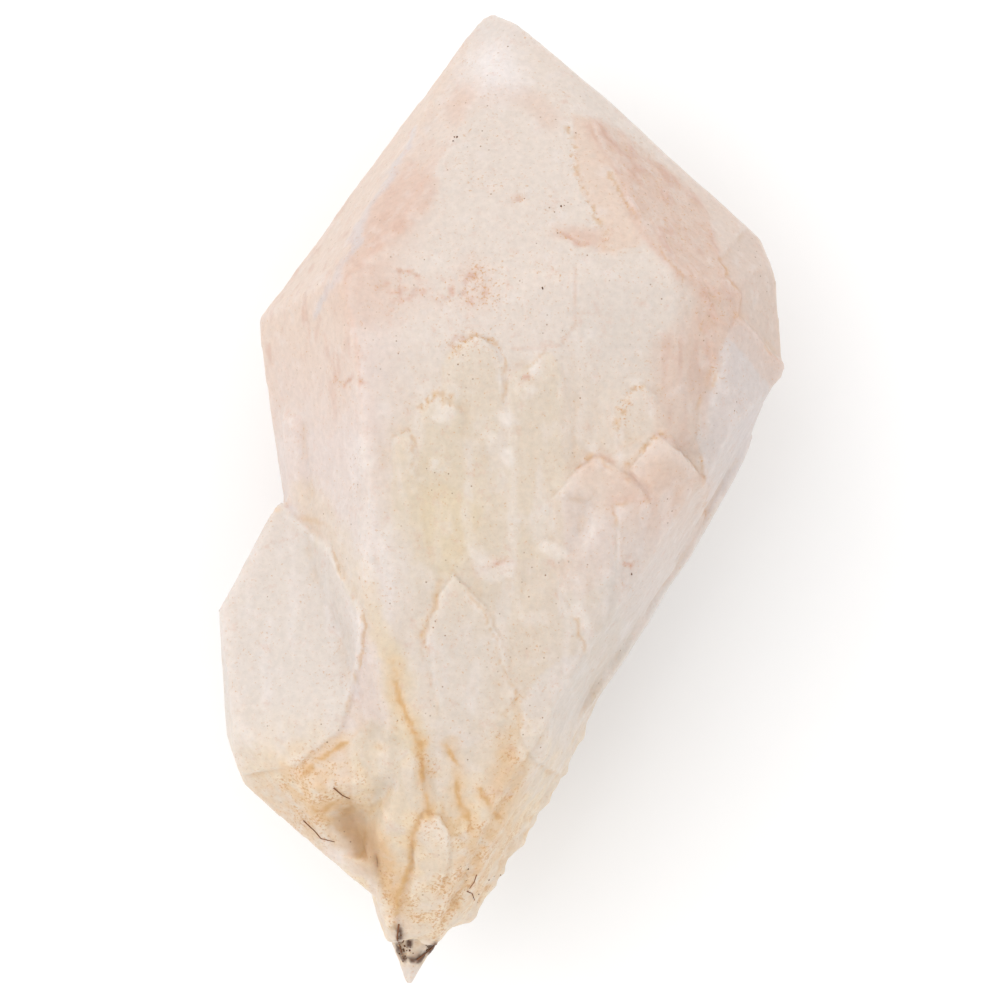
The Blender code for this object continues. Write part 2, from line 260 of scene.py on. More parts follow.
def thin_out(made, most):
    """Fewer triangles where the stone isn't seen from the front, to keep the whole within the given
    number.
    """
    mesh = made.data
    unseen = made.vertex_groups.new(name="unseen")
    hidden = [v.index for v in mesh.vertices if v.normal.z < 0.05]
    unseen.add(hidden, 1.0, "REPLACE")
    fewer = made.modifiers.new("thin out", "DECIMATE")
    fewer.vertex_group = "unseen"
    fewer.ratio = most / (2 * len(mesh.polygons))
    graph = bpy.context.evaluated_depsgraph_get()
    made.data = bpy.data.meshes.new_from_object(made.evaluated_get(graph))
    made.modifiers.clear()
    made.vertex_groups.clear()
    for vertex in made.data.vertices:
        vertex.co.z = max(vertex.co.z, FLOOR_GAP_MM * MM)


# Marks on the front, by the paths that they follow
ETCHED_CURLS = (
    ((-15.9, 32.8), (-15.6, 34.0), (-13.8, 34.1), (-12.7, 33.4)),
    ((-19.0, 31.7), (-17.4, 32.4), (-15.6, 31.6)),
    ((-14.6, 30.4), (-13.2, 31.4), (-11.6, 31.0)),
    ((-9.4, 33.8), (-8.2, 33.1), (-8.3, 31.5), (-9.7, 30.6), (-10.5, 31.2)),
    ((-6.0, 31.5), (-5.0, 33.4), (-3.6, 34.0)),
    ((-5.2, 30.4), (-3.8, 31.6), (-2.6, 31.2), (-1.6, 32.4)),
    ((-15.9, 30.4), (-15.8, 28.9), (-14.8, 27.3)),
    ((-25.4, 17.6), (-24.6, 18.5), (-23.4, 17.9), (-22.1, 18.7), (-20.7, 17.9)),
    ((-1.5, -10.3), (-0.1, -9.4), (1.1, -8.5)),
    ((9.0, 40.6), (11.2, 39.0), (14.0, 38.9), (15.6, 39.8)),
    ((1.2, 45.5), (2.6, 45.2), (3.4, 46.2)),
    ((18.9, -9.8), (19.9, -10.6), (20.4, -10.1)),
    ((-8.0, 23.4), (-6.4, 24.6), (-5.0, 24.0)),
    ((2.4, 18.4), (3.4, 19.2), (4.6, 18.8)),
)
PITTED_RIMS = (
    ((10.6, 57.1), (11.5, 53.4), (12.0, 49.3), (14.5, 43.8), (15.9, 41.1)),
    ((19.7, 4.5), (21.1, 7.3), (23.5, 9.8)),
    ((17.1, 9.7), (17.4, 12.3), (19.3, 16.0), (21.3, 17.4)),
    ((11.5, 4.0), (12.6, 6.0), (14.0, 6.9)),
    ((-7.4, 22.6), (-3.8, 24.8), (-1.4, 23.6)),
    ((-12.4, 14.4), (-10.2, 17.0), (-7.6, 15.2)),
)
PANEL_EDGE = ((11.2, 35.2), (11.2, 26.2), (9.2, 23.5), (1.8, 23.0))
FINE_EDGES = (
    ((-8.9, 14.0), (-8.9, 20.0), (-7.4, 22.6), (-3.8, 24.8), (-0.8, 23.4), (0.6, 20.4), (0.4, 15.0)),
    ((-12.2, 13.8), (-10.0, 17.0), (-6.9, 13.8)),
    ((-16.2, 9.2), (-14.4, 10.6), (-13.0, 8.4), (-13.4, 2.4)),
    ((0.9, 17.7), (1.2, 19.4), (7.5, 22.5), (9.2, 20.8)),
    ((23.5, 9.8), (25.6, 9.2), (28.4, 5.5), (31.2, 2.8), (31.4, -1.8)),
    ((14.8, 6.9), (19.7, 3.6), (22.1, 0.5)),
    ((17.1, 0.1), (22.5, 0.5)),
    ((16.3, -0.4), (17.7, -3.7), (18.8, -10.0), (19.7, -14.4)),
    ((-9.7, -15.0), (-11.7, -20.4), (-10.6, -26.0)),
    ((-7.1, -11.7), (-2.3, -16.1), (2.2, -29.9), (-0.9, -36.2)),
    ((5.6, -26.9), (2.7, -30.8), (3.2, -35.8), (8.6, -42.3)),
    ((10.1, -10.6), (9.3, -12.5), (11.5, -17.9), (13.1, -23.5)),
    ((16.2, 50.1), (21.0, 43.0), (27.0, 34.6), (28.3, 27.3)),
    ((33.4, 36.9), (34.3, 34.6), (36.6, 31.5), (36.5, 28.7), (35.1, 26.1)),
    ((36.0, 28.6), (39.8, 24.6), (43.4, 20.0)),
    ((35.1, 26.1), (32.1, 18.3), (29.8, 9.2), (30.9, 2.8)),
    ((30.3, 26.9), (31.8, 24.7), (32.3, 20.0)),
    (
        (-26.9, -6.6), (-24.6, -10.6), (-22.1, -14.1), (-21.0, -17.9), (-21.3, -22.9), (-22.1, -27.8),
        (-23.5, -32.8),
    ),
)
CAP_BLUSH = ((-7.5, 60.3), (-5.1, 62.2), (-0.1, 62.7), (4.2, 61.3), (7.3, 58.5))
BLUSHED_EDGES = (
    ((36.0, 28.4), (39.7, 24.4), (43.3, 20.4)),
    ((23.4, 9.8), (25.9, 8.9), (28.4, 5.5), (31.2, 2.8), (31.4, -1.8)),
    ((30.0, 27.6), (31.8, 24.9), (32.1, 21.6), (31.5, 16.9), (30.9, 11.1)),
    ((32.9, 38.5), (34.3, 34.6), (36.6, 31.5), (36.5, 28.7), (35.2, 26.6)),
    ((17.1, 0.1), (19.7, 0.4), (22.5, 0.5), (22.1, 2.1), (19.7, 4.2)),
    ((11.5, 4.5), (13.2, 6.2), (14.9, 6.9), (17.2, 5.9)),
    ((-3.2, -10.8), (-0.7, -9.4), (1.8, -9.4)),
    ((13.5, 57.6), (16.0, 53.7), (18.6, 48.7), (20.3, 42.8), (22.2, 39.6), (25.8, 35.7), (27.8, 34.1)),
)
# Path of a painted sheen: the bluish light that the left ridge catches
LEFT_RIDGE_SHEEN = ((-28.2, 28.8), (-24.5, 34.6), (-19.0, 46.0), (-13.4, 56.8))
STRAW_SEAM = (
    (-30.0, 1.0), (-25.5, -6.0), (-20.0, -14.5), (-17.5, -22.8), (-15.4, -29.3), (-13.4, -36.8),
)
RUST_VEINS = (
    ((-12.4, -36.7), (-12.2, -42.7), (-11.4, -45.8), (-10.7, -47.2)),
    ((-10.5, -47.5), (-12.5, -48.2), (-13.1, -51.3), (-14.8, -58.4), (-16.2, -63.7)),
    ((-8.5, -37.0), (-6.8, -41.0), (-6.3, -46.3), (-4.9, -50.5)),
    ((-16.9, -24.9), (-14.8, -30.8), (-13.4, -35.1), (-12.4, -37.0)),
    ((-8.8, -11.7), (-10.7, -17.2), (-11.7, -20.7)),
    ((-23.8, -37.0), (-26.2, -38.7), (-28.0, -40.1), (-29.7, -42.4)),
    ((-34.1, -1.7), (-31.0, -2.4), (-27.7, -3.5)),
    ((-28.5, -47.2), (-27.5, -48.2), (-26.5, -47.2), (-25.5, -45.8)),
    ((-3.1, -44.1), (-1.4, -47.2), (0.5, -50.0)),
)

# Spots on the front: place and half the width and height, then the turn in degrees where there is one
PALE_DOMES = (
    (3.3, 17.1, 1.5, 1.0),
    (5.9, 20.4, 1.2, 0.9),
    (1.1, 12.3, 1.7, 1.2),
    (-2.1, 9.2, 2.0, 1.5),
    (1.8, 6.4, 1.3, 1.6),
    (-8.9, 13.0, 1.6, 2.0),
    (-8.9, 5.6, 1.4, 1.2),
    (8.3, -7.9, 1.7, 1.2),
    (12.0, -17.9, 1.4, 2.2),
    (-20.4, 6.9, 2.0, 2.4),
)
# The last number of these is how strong the spot is
RUSTY_PATCHES = (
    (-3.6, -55.6, 4.6, 6.0, -28, 0.55),
    (-1.5, -52.5, 5.0, 3.0, 0, 0.55),
    (-15.6, -60.5, 2.2, 6.0, 16, 0.55),
    (-9.0, -62.0, 4.0, 6.0, -10, 0.55),
    (0.8, -42.0, 3.0, 6.0, 4, 0.55),
    (-28.5, -43.0, 5.0, 5.0, 30, 0.55),
    (-30.5, -48.5, 6.0, 2.2, -42, 0.55),
    (-12.0, -40.0, 1.6, 5.0, 0, 0.55),
    (-2.3, 33.2, 5.0, 3.2, 0, 0.40),
    (7.5, 34.8, 4.0, 2.2, 0, 0.30),
    (-1.0, 49.0, 4.5, 1.6, -8, 0.32),
    (7.4, 45.2, 2.8, 1.6, 0, 0.32),
    (-6.0, 23.2, 3.4, 1.6, 0, 0.35),
    (18.6, 12.6, 1.8, 3.0, 20, 0.35),
)
# Patches of painted shade: place, half the width and height, and strength
SHADE_PATCHES = (
    (15.4, -21.5, 6.5, 8.0, 0.40),
    (18.5, 26.5, 7.0, 8.0, 0.35),
    (29.3, 12.6, 3.5, 8.0, 0.35),
    (-36.5, -46.0, 6.0, 4.0, 0.50),
    (-16.4, -43.0, 4.0, 8.0, 0.35),
)
# The last number of these is how soft the border is, where there is one after the turn
STAINED_RECESS = (1.0, -42.4, 2.7, 6.6, 4)
HOLLOW = (-21.6, -51.8, 2.2, 5.8, 24, 0.7)
HOLLOW_LIP = (-25.2, -54.6, 1.4, 3.6, 35, 0.6)
RIGHT_CORNER = (43.0, 19.9, 1.8, 1.8, 0, 0.6)
SOIL_LUMP = (-14.2, -68.6, 0.5, 0.8, 0, 0.4)
SOIL_CREVICE = (
    (-15.8, -66.4), (-15.8, -69.5), (-14.8, -71.1), (-12.8, -71.6), (-11.0, -69.5), (-10.3, -68.6),
)

# Spots of colour: colour, strength, place, half the width and height, turn and softness
BODY_TONES = (
    (OLIVE, 0.7, -8.5, -2.0, 9.0, 14.0, 0, 0.8),
    (OLIVE, 0.3, -2.0, -24.0, 12.0, 22.0, 0, 0.8),
    (BONE, 0.6, -8.0, -26.0, 7.0, 12.0, 0, 0.8),
    (BONE, 0.6, -19.0, -8.0, 5.0, 9.0, 20, 0.8),
)
PEACHY_SPOTS = (
    (PEACH, 0.5, 25.0, 1.0, 7.0, 6.0, -30, 0.8),
    (PEACH, 0.8, 12.4, 40.2, 4.2, 1.5, -6, 0.5),
)
MILKY_SPOTS = (
    (MILK, 0.4, -18.7, -9.1, 3.5, 7.0, 15, 0.8),
    (MILK, 1.0, -0.8, 66.5, 4.5, 4.5, 0, 0.8),
)
LEFT_FOOT = (
    (SAND, 0.6, -34.0, -45.5, 9.0, 7.0, -40, 0.6),
    (WARM_GREY, 0.6, -33.0, -48.0, 9.0, 2.6, -42, 0.7),
)

# Areas of the front with a surface of their own, by their outlines
SCALY_BAND = (
    (13.5, 58.6), (15.4, 58.8), (22.2, 54.3), (30.6, 46.4), (32.9, 42.4), (32.9, 38.5), (34.3, 34.6),
    (36.6, 31.5), (36.5, 28.7), (35.1, 26.6), (32.9, 20.2), (32.0, 17.9), (31.8, 24.7), (30.1, 27.3),
    (29.3, 30.4), (27.8, 34.5), (25.8, 35.7), (22.2, 39.6), (20.3, 42.8), (18.6, 48.7), (16.0, 54.5),
)
LEFT_BLUSH = (
    (-14.1, 52.1), (-11.9, 51.0), (-10.0, 48.9), (-10.5, 44.8), (-13.4, 41.4), (-16.2, 39.4),
    (-20.9, 38.5), (-20.1, 42.4), (-18.9, 45.5), (-16.2, 49.6),
)
LOW_LEFT_BLUSH = (
    (-24.4, 36.9), (-20.9, 37.1), (-16.7, 36.0), (-17.3, 32.8), (-17.6, 30.6), (-15.5, 27.8),
    (-15.9, 25.8), (-24.1, 26.6), (-25.8, 28.7), (-25.2, 32.8),
)
OLIVE_POCKET = (
    (-12.0, 2.1), (-8.6, 2.4), (-4.8, 0.5), (-2.6, -1.3), (-3.8, -6.0), (-6.0, -9.1), (-7.5, -11.9),
    (-9.4, -11.3), (-11.3, -6.8), (-11.9, -2.9),
)
WHITE_CHIP = (
    (-5.2, -6.5), (-1.7, -8.8), (2.4, -9.4), (1.9, -11.6), (-1.7, -12.7), (-3.5, -11.7),
)
PEACH_PANEL = (
    (11.0, 59.1), (13.5, 58.6), (18.6, 48.7), (21.1, 40.0), (20.7, 38.5), (15.1, 38.0), (15.5, 42.1),
    (14.3, 44.4), (12.3, 47.2), (11.5, 52.0),
)
RIGHT_PRISM = (
    (33.4, 36.9), (38.6, 42.4), (42.5, 37.1), (43.9, 26.6), (43.6, 21.0), (36.3, 28.4), (36.6, 31.5),
    (34.3, 34.6),
)
RIGHT_CRYSTAL = (
    (36.0, 28.3), (44.8, 19.6), (40.2, 11.8), (36.3, 3.3), (31.5, -3.2), (31.2, 2.8), (29.8, 9.2),
    (31.8, 18.3), (34.3, 24.7),
)
RIGHT_CRYSTAL_END = (
    (36.0, 28.3), (44.8, 18.8), (41.4, 17.3), (34.3, 24.7),
)
BROWN_BAND = (
    (29.3, 28.1), (31.8, 24.7), (32.3, 20.0), (30.6, 7.0), (28.4, 6.1), (25.6, 9.5), (23.9, 11.8),
    (23.9, 23.5),
)
RIGHT_CANDLE = (
    (23.4, 9.8), (28.4, 5.5), (31.2, 2.8), (31.4, -1.8), (29.3, -9.1), (23.9, -15.3), (21.6, -23.0),
    (18.2, -16.8), (17.1, 0.1), (22.5, 0.5), (22.1, 1.8), (19.7, 4.5),
)
SMALL_CANDLE = (
    (11.5, 4.5), (14.8, 6.9), (19.7, 3.6), (22.1, 0.5), (17.1, 0.1), (17.1, -11.4), (12.3, -15.3),
    (6.9, -9.1), (7.8, 0.2),
)
ARCHED_CANDLE = (
    (-8.9, 9.5), (-8.9, 20.8), (-6.6, 23.5), (-3.7, 24.9), (-1.4, 23.1), (0.0, 20.4), (0.0, 9.5),
)
LEFT_CANDLE = (
    (-12.0, 3.3), (-12.2, 13.8), (-10.0, 16.8), (-6.3, 13.8), (-6.0, 3.3),
)
OUTER_CANDLE = (
    (-16.4, -4.4), (-16.4, 9.2), (-14.4, 10.4), (-13.3, 8.1), (-12.2, -4.4),
)
MIDDLE_CANDLE = (
    (1.1, -9.1), (1.1, 19.3), (7.5, 22.4), (9.2, 20.8), (9.5, -9.1),
)
TOP_RIGHT_CANDLE = (
    (17.1, 9.7), (17.4, 12.9), (19.3, 16.0), (21.6, 17.6), (23.8, 15.7), (23.1, 9.5),
)
LOW_CANDLE = (
    (-9.7, -15.0), (-7.1, -11.7), (-2.3, -16.1), (0.7, -23.0), (2.2, -29.9), (-0.9, -36.2),
    (-4.8, -41.6), (-6.2, -40.1), (-9.3, -31.9), (-11.7, -23.0),
)
SMOOTH_CANDLE = (
    (5.6, -26.9), (9.2, -23.8), (13.1, -23.8), (14.1, -30.8), (11.8, -37.0), (8.9, -42.6),
    (5.2, -39.8), (3.1, -35.8), (2.7, -30.8),
)
LEFT_CRYSTAL = (
    (-32.8, -1.3), (-26.9, -6.6), (-24.6, -10.6), (-22.1, -14.1), (-21.0, -17.9), (-21.3, -22.9),
    (-22.1, -27.8), (-23.5, -32.8), (-24.6, -35.1), (-31.1, -40.4), (-39.6, -42.0), (-44.3, -30.8),
    (-44.3, -18.4), (-33.7, 0.2),
)
ROUND_CRYSTAL = (
    (-23.1, -37.3), (-22.9, -45.2), (-21.8, -50.2), (-20.3, -54.5), (-18.9, -61.8), (-17.2, -66.4),
    (-15.3, -61.8), (-13.9, -54.5), (-12.2, -48.6), (-11.9, -40.9), (-15.6, -35.4), (-19.5, -33.6),
)
PALE_CANDLE = (
    (-13.0, -50.9), (-11.6, -47.7), (-9.3, -48.2), (-8.3, -50.6), (-8.3, -55.9), (-9.4, -61.0),
    (-11.4, -65.7), (-13.9, -64.6), (-13.6, -57.1),
)

# Small crystals: name, outline, and how far each stands up at its top and at its foot, in millimetres
SMALL_CRYSTALS = (
    ("left crystal", LEFT_CRYSTAL, 0.45, 0.45),
    ("right crystal", RIGHT_CRYSTAL, 0.2, 0.1),
    ("right candle", RIGHT_CANDLE, 0.65, 0.0),
    ("small candle", SMALL_CANDLE, 0.5, 0.0),
    ("arched candle", ARCHED_CANDLE, 0.35, 0.0),
    ("left candle", LEFT_CANDLE, 0.25, 0.0),
    ("outer candle", OUTER_CANDLE, 0.30, 0.0),
    ("middle candle", MIDDLE_CANDLE, 0.20, 0.0),
    ("top right candle", TOP_RIGHT_CANDLE, 0.35, 0.0),
    ("low candle", LOW_CANDLE, 0.50, 0.0),
    ("smooth candle", SMOOTH_CANDLE, 0.0, 0.55),
    ("pale candle", PALE_CANDLE, 0.9, 0.0),
    ("round crystal", ROUND_CRYSTAL, 0.1, 0.5),
)

# How far the rest of the relief stands up or is cut in, in millimetres
HEIGHT = {
    "swells": 0.25,
    "lumps": 0.07,
    "lumps near the root": 0.10,
    "lumps in the middle": 0.06,
    "flecks": 0.02,
    "pits": 0.012,
    "pits near the root": 0.05,
    "rough edge": 0.55,
    "right prism": 0.25,
    "peach panel": 0.12,
    "scales": 0.16,
    "upper scales": 0.12,
    "left streaks": 0.06,
    "white chip": 0.16,
    "olive pocket": 0.15,
    "right corner": 0.6,
    "domes": 0.14,
    "curls": 0.14,
    "panel edge": 0.08,
    "fine edges": 0.10,
    "recess": 0.35,
    "pitted rims": 0.18,
    "soil": 0.20,
}

stone = fine_mesh(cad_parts["quartz_point"])
surface = Surface(stone.data)

# Worn creases, filled softly, while the outer edges stay within WORN_MM of the solid's
surface.at = surface.spread(surface.at, 2)
normal = surface.normals()
filled = surface.spread(surface.at, 9) - surface.at
out = np.einsum("ij,ij->i", filled, normal)
surface.at += normal * (np.clip(out, -WORN_MM, 3.0) * 0.5)[:, None]
surface.at = surface.spread(surface.at, 1)
lowest, highest = surface.at.min(0), surface.at.max(0)
surface.at = (surface.at - (lowest + highest) / 2) * (np.array(SEEN_SIZE) / (highest - lowest))
surface.at[:, 2] -= surface.at[:, 2].min()
normal = surface.normals()
at = surface.at.copy()
x, y, z = at.T

# Which points face the front, and the noises that make every mark uneven
front = ramp(normal[:, 2], -0.1, 0.35) * ramp(z, 14, 24)
wander = np.stack([noise_of(at, 6.0, 21), noise_of(at, 6.0, 22)], 1) * 0.8
wander += np.stack([noise_of(at, 1.4, 23), noise_of(at, 1.4, 24)], 1) * 0.35
seen = at[:, :2] + wander
near = at[:, :2] + 0.35 * wander
cloud = noise_of(at, 9.0, 5, 3)
fleck = noise_of(at, 2.0, 7, 2)
pit = noise_of(at, 0.9, 8)
lumps = noise_of(at, (3.4, 6.5, 3.4), 6, 2)
low = ramp(y + 5 * cloud, -28, -52)
high = ramp(y + 4 * cloud, 8, 26)
left_end = high * ramp(normal[:, 0], -0.12, -0.45)
right_end = high * ramp(normal[:, 0], 0.30, 0.55)

# Streaks and scales that run down the end faces
down_right = (at @ (0.60, -0.74, -0.30)) / 6.0
across_right = (at @ (0.74, 0.60, 0.30)) / 1.2
streaks = noise_of(np.stack([down_right, across_right, z / 5], 1), 1.0, 31, 2)
left_streaks = noise_of(at, (1.3, 7.0, 3.0), 32, 2)
scaly = area(near, SCALY_BAND, 1.2) * front

# Where each crystal and mark lies, from 0 to 1
raised = {}
relief = np.zeros(len(at))
for name, outline, at_top, at_foot in SMALL_CRYSTALS:
    ends = [corner[1] for corner in outline]
    fall = ramp(y, min(ends), max(ends))
    raised[name] = area(near, outline, 0.5) * front
    relief += raised[name] * (at_foot + (at_top - at_foot) * fall)
curls = sum(stroke(seen, path, 1.0) for path in ETCHED_CURLS) * front * ramp(fleck + 0.4 * pit, -0.5, 0.3)
halo = sum(stroke(seen, path, 2.2) for path in ETCHED_CURLS) * front
rims = np.clip(sum(stroke(seen, path, 1.5) for path in PITTED_RIMS), 0, 1) * front
fine_edges = np.clip(sum(stroke(seen, path, 0.7) for path in FINE_EDGES), 0, 1) * front
panel = stroke(at[:, :2] + wander * 0.2, PANEL_EDGE, 0.8) * front
domes = sum(patch(seen, *dome) for dome in PALE_DOMES) * front
recess = patch(seen, *STAINED_RECESS) * front
chip = area(near, WHITE_CHIP, 0.8) * front
crevice = stroke(at[:, :2] + wander * 0.4, SOIL_CREVICE, 1.5) * front
lump = patch(at[:, :2], *SOIL_LUMP) * front
soil = np.clip(crevice * ramp(pit, -0.9, -0.3) + lump, 0, 1)

# Relief, from the broadest to the smallest
uneven = 0.4 + 0.6 * ramp(np.abs(x - 4) + 0.5 * np.abs(y + 5) + 6 * cloud, 34, 20)
middle = patch(seen, 2.0, -6.0, 32.0, 34.0, 0, 0.3)
lumpy = HEIGHT["lumps"] * uneven + HEIGHT["lumps near the root"] * low
lumpy += HEIGHT["lumps in the middle"] * middle
relief += noise_of(at, 13, 1) * HEIGHT["swells"] + lumps * lumpy
pitted = HEIGHT["pits"] * uneven + HEIGHT["pits near the root"] * low
relief += fleck * HEIGHT["flecks"] * uneven + pit * pitted
low_right = ramp(x + 0.55 * y, -46, -38) * ramp(normal[:, 2], 0.5, 0.1) * ramp(y, -28, -42)
rough = noise_of(at, (2.0, 2.0, 5.0), 35)
relief += HEIGHT["rough edge"] * rough * low_right * ramp(np.abs(z - 34), 12, 5)
sunk = HEIGHT["right prism"] * area(near, RIGHT_PRISM) * front
sunk += HEIGHT["peach panel"] * area(near, PEACH_PANEL) * front
relief -= sunk
scales = ramp(streaks, -0.1, 0.15) * HEIGHT["scales"] + ramp(streaks, 0.35, 0.5) * HEIGHT["upper scales"]
relief += scaly * scales
relief += left_end * left_streaks * HEIGHT["left streaks"]
chipped = HEIGHT["white chip"] * chip * ramp(y + 0.4 * x, -13.5, -9.0)
relief += chipped - HEIGHT["olive pocket"] * area(near, OLIVE_POCKET, 1.0) * front
relief += HEIGHT["right corner"] * patch(at[:, :2], *RIGHT_CORNER)
relief += (
    HEIGHT["domes"] * domes
    - HEIGHT["curls"] * curls
    - HEIGHT["panel edge"] * panel
    - HEIGHT["fine edges"] * fine_edges
)
relief -= (
    HEIGHT["recess"] * recess
    + rims * ramp(pit, 0.0, 0.4) * HEIGHT["pitted rims"]
    - soil * (HEIGHT["soil"] + 0.25 * pit)
)
surface.at = at + normal * relief[:, None]

# Where iron gathers and where edges are rubbed pale, in millimetres under the smoothed surface
narrow = surface.sunk(6)
crease = ramp(narrow, 0.012, 0.07)
edge = ramp(narrow, -0.02, -0.09)
broken = ramp(noise_of(at, 3.0, 9), -0.35, 0.45)

paint = Paint(len(at), CREAM)


def lay_spots(rows):
    """Soft spots of colour on the front, one after another."""
    for colour, amount, *spot in rows:
        paint.lay(colour, amount * patch(seen, *spot) * front)


# The body, from its broad tones to the left crystal and the painted shade on the right side
paint.lay(WARM_GREY, ramp(y + 5 * cloud, 28, 8))
paint.lay(ROSY_WHITE, ramp(x + 4 * cloud, -10, -22) * ramp(y, 34, 20))
lay_spots(BODY_TONES)
paint.lay(HONEY_GREY, 0.85 * area(near, ROUND_CRYSTAL, 1.5) * ramp(y, -60, -48) * front)
paint.lay(BONE, area(near, LEFT_CRYSTAL, 1.5))
paint.lay(MILK, 0.35 * area(near, LEFT_CRYSTAL, 0.8) * ramp(x + 0.2 * y + cloud, -30, -24.5))
# Painted shade over the lower right side
paint.lay(SHADE_GREY, 0.9 * ramp(x + 0.55 * y + 3 * cloud, 2, 12) * ramp(y, 4, -6))
paint.lay(CLAY, 0.45 * right_end * ramp(y, 58, 44))
paint.lay(LILAC_GREY, ramp(x + 2 * cloud, 33, 37) * ramp(y, 20, 14))
# The right prism: clay, with painted shade laid between
prism = area(near, RIGHT_PRISM, 2.0)
for colour, amount in ((CLAY, 0.35), (DUSK_SHADE, 0.4), (CLAY, 0.35)):
    paint.lay(colour, amount * prism * front)

# Peach and clay on the end faces and down the right side
inner = ramp(normal[:, 0] + 0.2 * cloud, -0.62, -0.40)
paint.lay(PEACH, left_end * (0.35 + 0.65 * inner) * (0.4 + 0.6 * ramp(y + 4 * cloud, 58, 38)))
paint.lay(PALE_PEACH, left_end * ramp(normal[:, 0], -0.45, -0.62) * 0.8)
lay_spots([(PEACH, 0.35, -17.5, 39.0, 4.5, 9.0, -28, 0.7)])
# Painted sheen: a lilac-grey line along the left ridge, where the edge catches light
paint.lay(LILAC_GREY, 0.7 * stroke(seen, LEFT_RIDGE_SHEEN, 2.0) * front)
paint.lay(CLAY, scaly * (0.6 + 0.4 * broken))
paint.lay(CLAY_STREAK, scaly * (0.10 + 0.60 * ramp(streaks, -0.05, 0.4)) * (0.35 + 0.65 * broken))
paint.lay(CLAY_STREAK, 0.50 * left_end * ramp(left_streaks, 0.0, 0.6) * broken * ramp(y, 60, 30))
paint.lay(CLAY, 0.9 * area(seen, BROWN_BAND, 5.0) * front)
upright_streaks = ramp(noise_of(at, (1.0, 8.0, 3.0), 33), -0.1, 0.6)
paint.lay(CLAY_STREAK, 0.45 * area(seen, BROWN_BAND, 3.0) * upright_streaks)

# Small crystals, each a little off the body's colour
paint.lay(LILAC_GREY, raised["right crystal"])
paint.lay(WARM_GREY, 0.3 * raised["right crystal"])
paint.lay(CLAY, 0.5 * area(near, RIGHT_CRYSTAL_END) * front)
paint.lay(PEACH, 0.25 * raised["right candle"] + 0.3 * raised["small candle"])
for name in ("arched candle", "left candle", "outer candle", "middle candle"):
    paint.lay(OLIVE, 0.40 * raised[name])
# Painted shade on the smooth candle
paint.lay(SHADE_GREY, 0.6 * raised["smooth candle"])
lay_spots(PEACHY_SPOTS)
low_blush = 0.35 * patch(seen, -4.0, 32.5, 3.2, 3.2, 0, 0.8) * front
low_blush += 0.3 * patch(seen, -15.0, 31.0, 5.0, 3.0, 0, 0.8) * front
paint.lay(PEACH, low_blush)
lay_spots([(PALE_PEACH, 0.9, 18.0, 39.6, 3.0, 1.6, 0, 0.5)])
paint.lay(PALE_PEACH, 0.9 * area(near, PEACH_PANEL, 1.0) * front)
blush = area(seen, LEFT_BLUSH, 2.6) + 0.6 * area(seen, LOW_LEFT_BLUSH, 3.6)
paint.lay(PEACH, 0.65 * blush * front)
paint.lay(CLAY_STREAK, 0.25 * blush * ramp(fleck, 0.0, 0.8) * front)
paint.lay(STRAW, 0.35 * area(near, OLIVE_POCKET, 1.6) * front)
blushed = sum(stroke(near, path, 1.1) for path in BLUSHED_EDGES)
paint.lay(CLAY_STREAK, 0.55 * blushed * front * (0.5 + 0.5 * broken))
paint.lay(PEACH, 0.30 * sum(stroke(seen, path, 3.6) for path in BLUSHED_EDGES) * front)
paint.lay(PEACH, 0.4 * stroke(seen, CAP_BLUSH, 6.0) * front)

# Patches of painted shade, then milkier spots and milky streaks down the body
for x0, y0, wide, tall, amount in SHADE_PATCHES:
    paint.lay(DUSK_SHADE, amount * patch(seen, x0, y0, wide, tall, 0, 0.9) * front)
lay_spots(MILKY_SPOTS)
milky_streaks = ramp(noise_of(at, (2.2, 12.0, 5.0), 41, 2), 0.15, 0.7)
paint.lay(MILK, 0.30 * milky_streaks * ramp(y + 4 * cloud, 24, 4) * front)

# Sand, straw and rust towards the root
paint.lay(SAND, low * (0.5 + 0.5 * broken))
lay_spots(LEFT_FOOT)
paint.lay(STRAW, stroke(seen, STRAW_SEAM, 6.5) * front * (0.3 + 0.3 * ramp(y, -10, -24)))
lay_spots([(STRAW, 0.2, -9.0, -3.0, 5.5, 8.0, 12, 0.8)])
paint.lay(ROOT_RUST, 0.6 * patch(seen, -29.0, -46.0, 8.0, 6.0, -40, 0.7) * ramp(fleck, -0.5, 0.5) * front)
paint.lay(ROOT_RUST, 0.7 * patch(seen, -2.8, -55.9, 4.2, 8.0, -28, 0.7) * ramp(fleck, -0.6, 0.4) * front)
lay_spots([(ROOT_RUST, 0.8, -17.0, -57.0, 1.7, 7.0, 16, 0.6)])
paint.lay(ROOT_RUST, 0.55 * recess)

# Milky clouds, rubbed edges, domes and chips
paint.lay(MILK, 0.22 * ramp(noise_of(at, 2.8, 8, 3), 0.35, 0.8) + 0.25 * edge * broken)
paint.lay(PALE_DOME, 0.6 * domes * ramp(fleck, -0.8, 0.2) + 0.5 * chip)
paint.lay(PALE_DOME, 0.45 * raised["pale candle"] * ramp(y, -56, -49))

